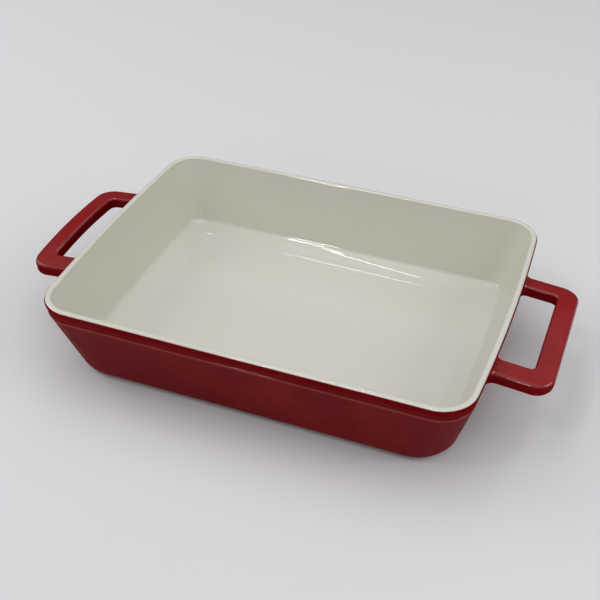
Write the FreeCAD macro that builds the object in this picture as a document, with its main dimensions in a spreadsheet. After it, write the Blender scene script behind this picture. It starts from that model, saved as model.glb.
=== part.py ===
import FreeCAD, Part
import math
import os
import Sketcher

# Oven dish of fired stoneware: a tapered rectangular tray with a set-back collar under its rim, an
# arched loop handle luted to each end with slip, a cream glaze inside and a red glaze outside.
# Millimetres, +Z up, +X along the dish. The origin is on the ground under the middle of the dish.

# Driving sizes
sizes = {
    "rim_length": 340.0,          # over the rim, at the middle of the two ends
    "rim_width": 252.2,           # over the rim, between the straight long sides
    "dish_height": 70.0,          # ground to the top of the rim
    "rim_corner": 28.2,           # plan radius of the rim's outer corners
    "end_bow": 4.6,               # how far each end bulges past a straight line
    "rim_wall": 5.8,              # wall at the rim, glaze included
    "rim_round": 1.3,             # rounding of the rim's two edges
    "collar_depth": 10.9,         # rim top down to the ledge under the collar
    "collar_draft": 3.1,          # how far the collar leans in over its depth
    "wall_ledge": 0.7,            # how far the wall steps out again under the collar
    "base_inset": 18.0,           # foot of the wall, in from the rim's outline
    "base_corner": 31.0,          # plan radius of the base's corners
    "base_round": 9.0,            # rounding from the wall into the underside
    "crease_inset": 23.8,         # foot of the inner wall, in from the rim's outline
    "crease_corner": 12.0,        # plan radius of the crease's corners
    "crease_round": 2.5,          # rounding where the inner wall meets the sweep
    "sweep_width": 26.0,          # crease to the edge of the flat floor
    "sweep_fall": 7.5,            # how far the sweep falls from the crease to the floor
    "sweep_round": 50.0,          # easing of the sweep into the floor
    "floor_thickness": 7.5,       # underside to the floor inside
    "floor_corner": 22.0,         # plan radius of the flat floor's corners
    "foot_height": 1.5,           # bare foot ring, ground to underside
    "foot_width": 5.0,            # width of the foot ring's flat face
    "foot_inset": 14.0,           # foot ring's outer edge, in from the base outline
    "foot_corner": 14.0,          # plan radius of the foot ring's outer corners
    "glaze_coat": 0.5,            # thickness of every glaze coat and of the slip behind a handle
    "glaze_line_drop": 1.4,       # rim top down to where the cream glaze meets the red
    "handle_reach": 39.8,         # how far a handle stands out from the rim's end
    "handle_span": 124.0,         # over the two legs of a handle
    "handle_leg": 16.5,           # width of each leg
    "handle_bar": 16.0,           # width of the grip
    "handle_thickness": 10.0,     # height of the handle
    "handle_drop": 14.4,          # rim top down to the middle of a leg's root
    "handle_droop": 5.4,          # degrees that a handle leans down towards its grip
    "handle_arch": 4.2,           # how far the grip's middle rises above the legs' outer sides
    "handle_root": 8.0,           # how far the uncut legs run into the wall
    "handle_outer_corner": 14.0,  # plan radius outside the loop
    "handle_inner_corner": 4.0,   # plan radius inside the loop
    "handle_round": 2.8,          # rounding of the handle's long edges
    "slip_flare": 2.2,            # how far the slip spreads round a leg at the wall
    "slip_length": 4.0,           # how far the slip runs out along a leg
    "slip_lip": 0.5,              # thickness of the slip where it ends on a leg
    "overrun": 10.0,              # how far cutting blocks run past what they cut
}
level_match_share = 0.1           # how near an edge lies to a level to count, of the glaze coat

doc = FreeCAD.newDocument("oven_dish")
sheet = doc.addObject("Spreadsheet::Sheet", "Sizes")
for row, (alias, value) in enumerate(sizes.items(), start=1):
    sheet.set(f"A{row}", alias.replace("_", " "))
    sheet.set(f"B{row}", str(value))
    sheet.setAlias(f"B{row}", alias)
doc.recompute()

# Levels and insets that several pieces share, written in the sheet's names
base_level = "Sizes.foot_height"
collar_level = "(Sizes.dish_height - Sizes.collar_depth)"
floor_level = "(Sizes.foot_height + Sizes.floor_thickness)"
glaze_line_level = "(Sizes.dish_height - Sizes.glaze_line_drop)"
handle_level = "(Sizes.dish_height - Sizes.handle_drop)"
wall_top_inset = "(Sizes.collar_draft - Sizes.wall_ledge)"
wall_lean = f"((Sizes.base_inset - {wall_top_inset}) / ({collar_level} - {base_level}))"
wall_at_handle = (f"(Sizes.rim_length / 2 - {wall_top_inset}"
                  f" - {wall_lean} * ({collar_level} - {handle_level}))")
handle_length = f"(Sizes.rim_length / 2 + Sizes.handle_reach - {wall_at_handle})"
end_radius = "(Sizes.rim_width ^ 2 / (8 * Sizes.end_bow) + Sizes.end_bow / 2)"
leg_centre = "(Sizes.handle_span / 2 - Sizes.handle_leg / 2)"
arch_radius = "((Sizes.handle_span / 2) ^ 2 / (2 * Sizes.handle_arch) + Sizes.handle_arch / 2)"
arch_centre_drop = f"sqrt({arch_radius} ^ 2 - {leg_centre} ^ 2)"
leg_tilt = f"asin({leg_centre} / {arch_radius})"

start, end, centre = 1, 2, 3      # the named points of a line or arc in a sketch
origin_point = -1                 # the sketch's origin and its horizontal axis
upright_axis = -2
no_grow = "0"
middle = 0                        # neither to the front nor to the rear
glaze = "Sizes.glaze_coat"


def origin_plane(body, role):
    for plane in body.Origin.OriginFeatures:
        if plane.Role == role:
            return plane


def new_body(name):
    return doc.addObject("PartDesign::Body", name)


def new_sketch(body, name, role, level):
    sketch = body.newObject("Sketcher::SketchObject", name)
    sketch.AttachmentSupport = (origin_plane(body, role), "")
    sketch.MapMode = "FlatFace"
    sketch.setExpression("AttachmentOffset.Base.z", level)
    return sketch


def bind(sketch, name, expression, *constraint):
    index = sketch.addConstraint(Sketcher.Constraint(*constraint))
    sketch.renameConstraint(index, name)
    sketch.setExpression(f"Constraints.{name}", expression)


def line(x_from, y_from, x_to, y_to):
    return Part.LineSegment(FreeCAD.Vector(x_from, y_from, 0), FreeCAD.Vector(x_to, y_to, 0))


def arc(x, y, radius, from_angle, to_angle):
    circle = Part.Circle(FreeCAD.Vector(x, y, 0), FreeCAD.Vector(0, 0, 1), radius)
    return Part.ArcOfCircle(circle, from_angle, to_angle)


# Rounded rectangle whose short ends bulge: two straight sides, two end arcs and four corner arcs,
# each tangent to the next. The sketch starts as the rim's own outline and is then driven to its sizes.
def dish_outline(body, name, level, inset, corner):
    half_length = sizes["rim_length"] / 2
    half_width = sizes["rim_width"] / 2
    radius = sizes["rim_corner"]
    end_arc = half_width ** 2 / (2 * sizes["end_bow"]) + sizes["end_bow"] / 2
    end_x = half_length - end_arc
    corner_y = half_width - radius
    corner_x = end_x + math.sqrt((end_arc - radius) ** 2 - corner_y ** 2)
    turn = math.atan2(corner_y, corner_x - end_x)
    right_angle = math.pi / 2
    sketch = new_sketch(body, name, "XY_Plane", level)
    front, front_right, right, back_right, back, back_left, left, front_left = range(8)
    sketch.addGeometry([
        line(-corner_x, -half_width, corner_x, -half_width),
        arc(corner_x, -corner_y, radius, -right_angle, -turn),
        arc(end_x, 0, end_arc, -turn, turn),
        arc(corner_x, corner_y, radius, turn, right_angle),
        line(corner_x, half_width, -corner_x, half_width),
        arc(-corner_x, corner_y, radius, right_angle, math.pi - turn),
        arc(-end_x, 0, end_arc, math.pi - turn, math.pi + turn),
        arc(-corner_x, -corner_y, radius, math.pi + turn, math.pi + right_angle),
    ], False)
    edges = [front, front_right, right, back_right, back, back_left, left, front_left]
    for this_edge, next_edge in zip(edges, edges[1:] + edges[:1]):
        sketch.addConstraint(Sketcher.Constraint("Tangent", this_edge, end, next_edge, start))
    sketch.addConstraint(Sketcher.Constraint("Horizontal", front))
    sketch.addConstraint(Sketcher.Constraint("Horizontal", back))
    for other in (back_right, back_left, front_left):
        sketch.addConstraint(Sketcher.Constraint("Equal", front_right, other))
    sketch.addConstraint(Sketcher.Constraint("Equal", right, left))
    for end_edge in (right, left):
        sketch.addConstraint(Sketcher.Constraint("PointOnObject", end_edge, centre, origin_point))
    half = f"Sizes.rim_width / 2 - ({inset})"
    bind(sketch, "front_half", half, "DistanceY", front, start, origin_point, start, half_width)
    bind(sketch, "back_half", half, "DistanceY", origin_point, start, back, start, half_width)
    offset = f"{end_radius} - (Sizes.rim_length / 2 - ({inset}))"
    bind(sketch, "right_centre", offset, "DistanceX", right, centre, origin_point, start, -end_x)
    bind(sketch, "left_centre", offset, "DistanceX", origin_point, start, left, centre, -end_x)
    bind(sketch, "end_radius", end_radius, "Radius", right, end_arc)
    bind(sketch, "corner_radius", corner, "Radius", front_right, radius)
    return sketch


def ruled_loft(body, kind, name, first, *others):
    loft = body.newObject(kind, name)
    loft.Profile = first
    loft.Sections = list(others)
    loft.Ruled = True
    doc.recompute()
    return loft


def level_edges(feature, level):
    near = sizes["glaze_coat"] * level_match_share
    names = []
    for number, edge in enumerate(feature.Shape.Edges, start=1):
        box = edge.BoundBox
        if abs(box.ZMin - level) < near and abs(box.ZMax - level) < near:
            names.append(f"Edge{number}")
    return names


def round_edges(body, name, base, names, radius):
    fillet = body.newObject("PartDesign::Fillet", name)
    fillet.Base = (base, names)
    fillet.setExpression("Radius", radius)
    doc.recompute()
    return fillet


# Outside of the tray: a tapered wall that ends in a narrow ledge, the set-back collar above it, and
# a rounded base edge.
# grow_in draws every face in by the same amount: nothing for the glazed dish, the coat for the clay.
def tray_outside(body, grow_in):
    foot = dish_outline(body, "wall_foot", f"{base_level} + {grow_in}",
                        f"Sizes.base_inset + {grow_in}", f"Sizes.base_corner - {grow_in}")
    top = dish_outline(body, "wall_top", f"{collar_level} - {grow_in}",
                       f"{wall_top_inset} + {grow_in}", f"Sizes.rim_corner - {wall_top_inset} - {grow_in}")
    wall = ruled_loft(body, "PartDesign::AdditiveLoft", "wall", foot, top)
    collar_low = dish_outline(body, "collar_low", f"{collar_level} - {grow_in}",
                              f"Sizes.collar_draft + {grow_in}",
                              f"Sizes.rim_corner - Sizes.collar_draft - {grow_in}")
    rim = dish_outline(body, "rim", f"Sizes.dish_height - {grow_in}", grow_in,
                       f"Sizes.rim_corner - {grow_in}")
    collar = ruled_loft(body, "PartDesign::AdditiveLoft", "collar", collar_low, rim)
    base_edges = level_edges(collar, foot.Placement.Base.z)
    return round_edges(body, "base_rounding", collar, base_edges, f"Sizes.base_round - {grow_in}")


# Inside of the tray: the tapered hollow down to a crease, a shallow sweep from there to the floor,
# and the rounded rim.
def tray_inside(body, grow_in):
    mouth = dish_outline(body, "mouth", f"Sizes.dish_height - {grow_in}", f"Sizes.rim_wall - {grow_in}",
                         f"Sizes.rim_corner - Sizes.rim_wall + {grow_in}")
    crease = dish_outline(body, "crease", f"{floor_level} + Sizes.sweep_fall - {grow_in}",
                          f"Sizes.crease_inset - {grow_in}", f"Sizes.crease_corner + {grow_in}")
    floor = dish_outline(body, "floor", f"{floor_level} - {grow_in}",
                         "Sizes.crease_inset + Sizes.sweep_width", "Sizes.floor_corner")
    hollow = ruled_loft(body, "PartDesign::SubtractiveLoft", "hollow", mouth, crease, floor)
    floor_edges = level_edges(hollow, floor.Placement.Base.z)
    eased = round_edges(body, "floor_easing", hollow, floor_edges, f"Sizes.sweep_round + {grow_in}")
    crease_edges = level_edges(eased, crease.Placement.Base.z)
    swept = round_edges(body, "crease_rounding", eased, crease_edges, f"Sizes.crease_round + {grow_in}")
    rim_edges = level_edges(swept, mouth.Placement.Base.z)
    return round_edges(body, "rim_rounding", swept, rim_edges, f"Sizes.rim_round - {grow_in}")


def foot_outline(body, name, inset):
    return dish_outline(body, name, no_grow, f"Sizes.base_inset + Sizes.foot_inset + {inset}",
                        f"Sizes.foot_corner - {inset}")


def pad_up(body, name, sketch, height):
    pad = body.newObject("PartDesign::Pad", name)
    pad.Profile = sketch
    pad.setExpression("Length", height)
    doc.recompute()
    return pad


# Side view of a handle, looking along its legs: an arched band between two arcs about one centre.
# The middle of the band is level with the sketch's origin where it crosses the middle of a leg.
def handle_arch(body, grow_in):
    half_span = sizes["handle_span"] / 2
    radius = half_span ** 2 / (2 * sizes["handle_arch"]) + sizes["handle_arch"] / 2
    half_height = sizes["handle_thickness"] / 2
    turn = math.asin(half_span / radius)
    right_angle = math.pi / 2
    sketch = new_sketch(body, "arch", "YZ_Plane", "-Sizes.handle_root - Sizes.overrun")
    lower, upper, right, left = range(4)
    sketch.addGeometry([
        arc(0, -radius, radius - half_height, right_angle - turn, right_angle + turn),
        arc(0, -radius, radius + half_height, right_angle - turn, right_angle + turn),
        line(half_span, -half_height, half_span, half_height),
        line(-half_span, -half_height, -half_span, half_height),
    ], False)
    joints = [
        (right, start, lower, start), (right, end, upper, start),
        (left, start, lower, end), (left, end, upper, end), (lower, centre, upper, centre),
    ]
    for joint in joints:
        sketch.addConstraint(Sketcher.Constraint("Coincident", *joint))
    for edge in (right, left):
        sketch.addConstraint(Sketcher.Constraint("Vertical", edge))
    sketch.addConstraint(Sketcher.Constraint("PointOnObject", lower, centre, upright_axis))
    across = "Sizes.handle_span / 2 + Sizes.overrun"
    bind(sketch, "right_half", across, "DistanceX", origin_point, start, right, start, half_span)
    bind(sketch, "left_half", across, "DistanceX", left, start, origin_point, start, half_span)
    bind(sketch, "centre_drop", arch_centre_drop, "DistanceY", lower, centre, origin_point, start, radius)
    thick = f"(Sizes.handle_thickness / 2 - {grow_in})"
    bind(sketch, "lower_radius", f"{arch_radius} - {thick}", "Radius", lower, radius - half_height)
    bind(sketch, "upper_radius", f"{arch_radius} + {thick}", "Radius", upper, radius + half_height)
    return sketch


# Loop handle seen from above: two legs and a grip round a finger gap, one closed outline, inside a
# frame that clears the arched band. What lies between the two is cut away.
# It is drawn from the wall outwards along X.
def handle_outline(body, grow_in):
    root = -sizes["handle_root"]
    outer = sizes["handle_reach"]
    inner = outer - sizes["handle_bar"]
    half_span = sizes["handle_span"] / 2
    half_gap = half_span - sizes["handle_leg"]
    big = sizes["handle_outer_corner"]
    small = sizes["handle_inner_corner"]
    right_angle = math.pi / 2
    sketch = new_sketch(body, "loop", "XY_Plane", "Sizes.handle_thickness + Sizes.handle_arch")
    (front_outer, front_corner, grip_outer, back_corner, back_outer, back_end, back_inner,
     back_notch, grip_inner, front_notch, front_inner, front_end) = range(12)
    sketch.addGeometry([
        line(root, -half_span, outer - big, -half_span),
        arc(outer - big, big - half_span, big, -right_angle, 0),
        line(outer, big - half_span, outer, half_span - big),
        arc(outer - big, half_span - big, big, 0, right_angle),
        line(outer - big, half_span, root, half_span),
        line(root, half_span, root, half_gap),
        line(root, half_gap, inner - small, half_gap),
        arc(inner - small, half_gap - small, small, 0, right_angle),
        line(inner, half_gap - small, inner, small - half_gap),
        arc(inner - small, small - half_gap, small, -right_angle, 0),
        line(inner - small, -half_gap, root, -half_gap),
        line(root, -half_gap, root, -half_span),
    ], False)
    far_x = outer + sizes["handle_root"] + 2 * sizes["overrun"]
    far_y = half_span + 2 * sizes["overrun"]
    frame_front, frame_right, frame_back, frame_left = range(12, 16)
    sketch.addGeometry([
        line(-far_x, -far_y, far_x, -far_y),
        line(far_x, -far_y, far_x, far_y),
        line(far_x, far_y, -far_x, far_y),
        line(-far_x, far_y, -far_x, -far_y),
    ], False)
    tangents = [
        (front_outer, end, front_corner, start), (front_corner, end, grip_outer, start),
        (grip_outer, end, back_corner, start), (back_corner, end, back_outer, start),
        (back_inner, end, back_notch, end), (back_notch, start, grip_inner, start),
        (grip_inner, end, front_notch, end), (front_notch, start, front_inner, start),
    ]
    for joint in tangents:
        sketch.addConstraint(Sketcher.Constraint("Tangent", *joint))
    corners = [
        (back_outer, end, back_end, start), (back_end, end, back_inner, start),
        (front_inner, end, front_end, start), (front_end, end, front_outer, start),
        (frame_front, end, frame_right, start), (frame_right, end, frame_back, start),
        (frame_back, end, frame_left, start), (frame_left, end, frame_front, start),
    ]
    for joint in corners:
        sketch.addConstraint(Sketcher.Constraint("Coincident", *joint))
    for edge in (front_outer, back_outer, back_inner, front_inner, frame_front, frame_back):
        sketch.addConstraint(Sketcher.Constraint("Horizontal", edge))
    for edge in (grip_outer, grip_inner, back_end, front_end, frame_right, frame_left):
        sketch.addConstraint(Sketcher.Constraint("Vertical", edge))
    sketch.addConstraint(Sketcher.Constraint("Equal", front_corner, back_corner))
    sketch.addConstraint(Sketcher.Constraint("Equal", front_notch, back_notch))
    depth = "Sizes.handle_root"
    bind(sketch, "front_root", depth, "DistanceX", front_outer, start, origin_point, start, -root)
    bind(sketch, "back_root", depth, "DistanceX", back_outer, end, origin_point, start, -root)
    bind(sketch, "reach", f"{handle_length} - {grow_in}",
         "DistanceX", origin_point, start, grip_outer, start, outer)
    bind(sketch, "grip", f"Sizes.handle_bar - 2 * {grow_in}",
         "DistanceX", grip_inner, start, grip_outer, start, outer - inner)
    half = f"Sizes.handle_span / 2 - {grow_in}"
    bind(sketch, "front_half", half, "DistanceY", front_outer, start, origin_point, start, half_span)
    bind(sketch, "back_half", half, "DistanceY", origin_point, start, back_outer, end, half_span)
    leg = f"Sizes.handle_leg - 2 * {grow_in}"
    leg_width = half_span - half_gap
    bind(sketch, "front_leg", leg, "DistanceY", front_outer, start, front_inner, end, leg_width)
    bind(sketch, "back_leg", leg, "DistanceY", back_inner, start, back_outer, end, leg_width)
    bind(sketch, "outer_corner", f"Sizes.handle_outer_corner - {grow_in}", "Radius", front_corner, big)
    bind(sketch, "inner_corner", f"Sizes.handle_inner_corner + {grow_in}", "Radius", front_notch, small)
    clear_x = f"{handle_length} + Sizes.handle_root + 2 * Sizes.overrun"
    clear_y = "Sizes.handle_span / 2 + 2 * Sizes.overrun"
    bind(sketch, "frame_right", clear_x, "DistanceX", origin_point, start, frame_right, start, far_x)
    bind(sketch, "frame_left", clear_x, "DistanceX", frame_left, start, origin_point, start, far_x)
    bind(sketch, "frame_front", clear_y, "DistanceY", frame_front, start, origin_point, start, far_y)
    bind(sketch, "frame_back", clear_y, "DistanceY", origin_point, start, frame_back, start, far_y)
    return sketch


# Edges along the upper and lower faces of an arched handle, apart from those across its roots
def arch_edges(feature, arch):
    near = sizes["glaze_coat"] * level_match_share
    centre_z = -arch.getDatum("centre_drop").Value
    radii = [arch.getDatum(name).Value for name in ("lower_radius", "upper_radius")]
    names = []
    for number, edge in enumerate(feature.Shape.Edges, start=1):
        first, middle, last = edge.discretize(3)
        from_centre = [math.hypot(point.y, point.z - centre_z) for point in (first, middle, last)]
        on_arch = any(max(abs(far - radius) for far in from_centre) < near for radius in radii)
        if on_arch and max(first.x, middle.x, last.x) > near - sizes["handle_root"]:
            names.append(f"Edge{number}")
    return names


# A handle or its slip is drawn at the wall, then set on the right end of the dish, or turned half way
# round for the left, and leans down by the droop. The slip of a leg also tilts sideways with the arch.
def set_on_end(body, half_turns, y_sign):
    outward = 1 - 2 * half_turns
    turn = math.degrees(math.pi) * half_turns
    y_place = f"{y_sign} * {leg_centre}"
    place = f"vector({outward} * {wall_at_handle}; {y_place}; {handle_level})"
    lean = f"rotation({turn}; Sizes.handle_droop; {-y_sign * outward} * {leg_tilt})"
    body.setExpression("Placement", f"placement({place}; {lean})")


# One handle: the arched band cut to the loop, with its long edges rounded
def handle_form(name, half_turns, grow_in):
    body = new_body(name)
    arch = handle_arch(body, grow_in)
    pad_up(body, "band", arch, f"{handle_length} + Sizes.handle_root + 2 * Sizes.overrun")
    loop_cut = body.newObject("PartDesign::Pocket", "loop_cut")
    loop_cut.Profile = handle_outline(body, grow_in)
    loop_cut.Type = "ThroughAll"
    doc.recompute()
    long_edges = arch_edges(loop_cut, arch)
    round_edges(body, "long_edges", loop_cut, long_edges, f"Sizes.handle_round - {grow_in}")
    set_on_end(body, half_turns, middle)
    return body


# Rounded rectangle across a leg, looking along the leg.
def leg_section(body, name, place, spread):
    half_width = sizes["handle_leg"] / 2
    half_height = sizes["handle_thickness"] / 2
    radius = sizes["handle_round"]
    right_angle = math.pi / 2
    sketch = new_sketch(body, name, "YZ_Plane", place)
    low, low_right, right, high_right, high, high_left, left, low_left = range(8)
    side_y = half_width - radius
    side_z = half_height - radius
    sketch.addGeometry([
        line(-side_y, -half_height, side_y, -half_height),
        arc(side_y, -side_z, radius, -right_angle, 0),
        line(half_width, -side_z, half_width, side_z),
        arc(side_y, side_z, radius, 0, right_angle),
        line(side_y, half_height, -side_y, half_height),
        arc(-side_y, side_z, radius, right_angle, math.pi),
        line(-half_width, side_z, -half_width, -side_z),
        arc(-side_y, -side_z, radius, math.pi, math.pi + right_angle),
    ], False)
    edges = [low, low_right, right, high_right, high, high_left, left, low_left]
    for this_edge, next_edge in zip(edges, edges[1:] + edges[:1]):
        sketch.addConstraint(Sketcher.Constraint("Tangent", this_edge, end, next_edge, start))
    for edge in (low, high):
        sketch.addConstraint(Sketcher.Constraint("Horizontal", edge))
    for edge in (right, left):
        sketch.addConstraint(Sketcher.Constraint("Vertical", edge))
    for other in (high_right, high_left, low_left):
        sketch.addConstraint(Sketcher.Constraint("Equal", low_right, other))
    across = f"Sizes.handle_leg / 2 + {spread}"
    upward = f"Sizes.handle_thickness / 2 + {spread}"
    bind(sketch, "left_half", across, "DistanceX", left, start, origin_point, start, half_width)
    bind(sketch, "right_half", across, "DistanceX", origin_point, start, right, start, half_width)
    bind(sketch, "low_half", upward, "DistanceY", low, start, origin_point, start, half_height)
    bind(sketch, "high_half", upward, "DistanceY", origin_point, start, high, start, half_height)
    bind(sketch, "corner", f"Sizes.handle_round + {spread}", "Radius", low_right, radius)
    return sketch


# Slip pressed round one end of a leg: widest at the wall, thinning to a lip on the leg.
def slip_form(name, half_turns, y_sign, grow_out):
    body = new_body(name)
    wide = leg_section(body, "in_wall", "-Sizes.slip_length",
                       f"(2 * Sizes.slip_flare - Sizes.slip_lip + {grow_out})")
    narrow = leg_section(body, "on_leg", f"Sizes.slip_length + {grow_out}",
                         f"(Sizes.slip_lip + {grow_out})")
    ruled_loft(body, "PartDesign::AdditiveLoft", "flare", wide, narrow)
    set_on_end(body, half_turns, y_sign)
    return body


def cut(name, base, tool):
    result = doc.addObject("Part::Cut", name)
    result.Base = base
    result.Tool = tool
    doc.recompute()
    return result


def common(name, base, tool):
    result = doc.addObject("Part::Common", name)
    result.Base = base
    result.Tool = tool
    doc.recompute()
    return result


def join(name, shapes):
    result = doc.addObject("Part::MultiFuse", name)
    result.Shapes = shapes
    doc.recompute()
    return result


def solid_block(name, grow_in):
    body = new_body(name)
    tray_outside(body, grow_in)
    return body


# Clay tray, with the foot ring that it stands on
clay_dish = new_body("clay_dish")
tray_outside(clay_dish, glaze)
tray_inside(clay_dish, glaze)
ring_outer = foot_outline(clay_dish, "ring_outer", no_grow)
pad_up(clay_dish, "ring", ring_outer, f"{base_level} + {glaze}")
hole = foot_outline(clay_dish, "ring_inner", "Sizes.foot_width")
recess = clay_dish.newObject("PartDesign::Pocket", "recess")
recess.Profile = hole
recess.Reversed = True
recess.setExpression("Length", f"{base_level} + {glaze}")
doc.recompute()

# Forms of the finished dish that the coats, handles and slip are cut against
glazed_dish = new_body("glazed_dish")
tray_outside(glazed_dish, no_grow)
tray_inside(glazed_dish, no_grow)
glazed_block = solid_block("glazed_block", no_grow)
clay_block = solid_block("clay_block", glaze)
half_wall = "(Sizes.rim_wall / 2)"
middle_block = solid_block("middle_block", half_wall)
riser = dish_outline(middle_block, "riser", f"Sizes.dish_height - {half_wall}", half_wall,
                     f"Sizes.rim_corner - {half_wall}")
pad_up(middle_block, "middle_rim", riser, "Sizes.rim_wall")

# Everything outside the middle of the wall and below the line where the two glazes meet
below_line = doc.addObject("Part::Box", "below_line")
below_line.setExpression("Length", "Sizes.rim_length + 2 * Sizes.overrun")
below_line.setExpression("Width", "Sizes.rim_width + 2 * Sizes.overrun")
below_line.setExpression("Height", f"{glaze_line_level} + Sizes.overrun")
below_line.setExpression("Placement.Base.x", "-Sizes.rim_length / 2 - Sizes.overrun")
below_line.setExpression("Placement.Base.y", "-Sizes.rim_width / 2 - Sizes.overrun")
below_line.setExpression("Placement.Base.z", "-Sizes.overrun")
red_zone = cut("red_zone", below_line, middle_block)

# Handles, the slip that lutes them on, and the same forms with their coat
ends = {"right": 0, "left": 1}
sides = {"front": -1, "rear": 1}
clay_handles = {}
coated_handles = {}
clay_slips = {}
coated_slips = {}
for end_name, half_turns in ends.items():
    clay_handles[end_name] = handle_form(f"clay_handle_{end_name}", half_turns, glaze)
    coated_handles[end_name] = handle_form(f"coated_handle_{end_name}", half_turns, no_grow)
    for side_name, y_sign in sides.items():
        place = f"{end_name}_{side_name}"
        clay_slips[place] = slip_form(f"clay_slip_{place}", half_turns, y_sign, f"-{glaze}")
        coated_slips[place] = slip_form(f"coated_slip_{place}", half_turns, y_sign, no_grow)
doc.recompute()

# Pieces of the finished dish
pieces = [clay_dish]
clay_dish.Label = "stoneware_tray"

coat = cut("coat", glazed_dish, clay_dish)
red_coat = common("red_coat", coat, red_zone)
pieces.append(cut("cream_liner_glaze", coat, red_zone))

under_ring = new_body("under_ring")
pad_up(under_ring, "plug", foot_outline(under_ring, "ring_middle", "Sizes.foot_width / 2"), floor_level)
pieces.append(common("red_underside_glaze", red_coat, under_ring))
side_coat = cut("side_coat", red_coat, under_ring)
all_slip = join("all_slip", list(clay_slips.values()))
pieces.append(cut("red_wall_glaze", side_coat, all_slip))

for end_name in ends:
    clay_handle = clay_handles[end_name]
    coated_forms = [coated_handles[end_name]]
    core_forms = [glazed_block, clay_handle]
    pieces.append(cut(f"handle_{end_name}", clay_handle, glazed_block))
    for side_name in sides:
        place = f"{end_name}_{side_name}"
        outside_wall = cut(f"slip_outside_{place}", clay_slips[place], clay_block)
        pieces.append(cut(f"slip_joint_{place}", outside_wall, clay_handle))
        coated_forms.append(coated_slips[place])
        core_forms.append(clay_slips[place])
    coated = join(f"coated_{end_name}", coated_forms)
    core = join(f"core_{end_name}", core_forms)
    pieces.append(cut(f"red_handle_glaze_{end_name}", coated, core))

doc.recompute()
for thing in doc.Objects:
    if "Invalid" in thing.State or "Error" in thing.State:
        raise RuntimeError(f"{thing.Name} failed: {thing.State}")
for piece in pieces:
    if piece.Shape.isNull() or not piece.Shape.isValid():
        raise RuntimeError(f"{piece.Label} has no valid shape")

os.makedirs("parts", exist_ok=True)
for piece in pieces:
    piece.Shape.exportStep(f"parts/{piece.Label}.step")
    solids = len(piece.Shape.Solids)
    print(f"{piece.Label}: {solids} solid, {piece.Shape.Volume:.0f} cubic mm")
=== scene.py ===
import math
import bpy
import numpy as np
from mathutils import Matrix, Vector


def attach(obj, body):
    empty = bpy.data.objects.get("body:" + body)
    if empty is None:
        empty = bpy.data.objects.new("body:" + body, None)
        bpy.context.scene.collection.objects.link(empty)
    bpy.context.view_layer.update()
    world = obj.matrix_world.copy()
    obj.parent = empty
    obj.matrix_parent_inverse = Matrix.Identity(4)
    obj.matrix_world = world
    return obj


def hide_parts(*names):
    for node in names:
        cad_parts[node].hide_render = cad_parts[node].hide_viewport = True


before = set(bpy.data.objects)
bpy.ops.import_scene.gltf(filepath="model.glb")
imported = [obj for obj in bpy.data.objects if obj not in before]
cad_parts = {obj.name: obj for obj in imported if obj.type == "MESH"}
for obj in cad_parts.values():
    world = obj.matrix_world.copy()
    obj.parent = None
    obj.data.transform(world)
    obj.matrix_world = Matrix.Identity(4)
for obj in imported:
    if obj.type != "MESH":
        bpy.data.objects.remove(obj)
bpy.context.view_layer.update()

scene = bpy.context.scene
scene.view_settings.view_transform = "Standard"
print("frame:", len(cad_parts), "nodes")

# camera, set from the photo's own view: degrees, metres, lens for a 36 mm sensor on a square image
viewpoint = {
    "azimuth": 20.97,
    "elevation": 37.23,
    "distance": 0.8974,
    "roll": 0.27,
    "target": (-0.0160, 0.0408, 0.0),
    "lens": 62.98,
    "sensor": 36.0,
}


def placeCamera(v):
    azimuth, elevation, roll = (math.radians(v[key]) for key in ("azimuth", "elevation", "roll"))
    back = Vector((math.sin(azimuth) * math.cos(elevation),
                   -math.cos(azimuth) * math.cos(elevation),
                   math.sin(elevation)))
    right = Vector((0, 0, 1)).cross(back).normalized()
    up = back.cross(right)
    turned = Matrix((right, up, back)).transposed() @ Matrix.Rotation(roll, 3, "Z")
    data = bpy.data.cameras.new("studioCamera")
    data.lens = v["lens"]
    data.sensor_width = v["sensor"]
    camera = bpy.data.objects.new("studioCamera", data)
    place = Vector(v["target"]) + back * v["distance"]
    camera.matrix_world = Matrix.Translation(place) @ turned.to_4x4()
    scene.collection.objects.link(camera)
    scene.camera = camera


placeCamera(viewpoint)
print("camera placed")

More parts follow.
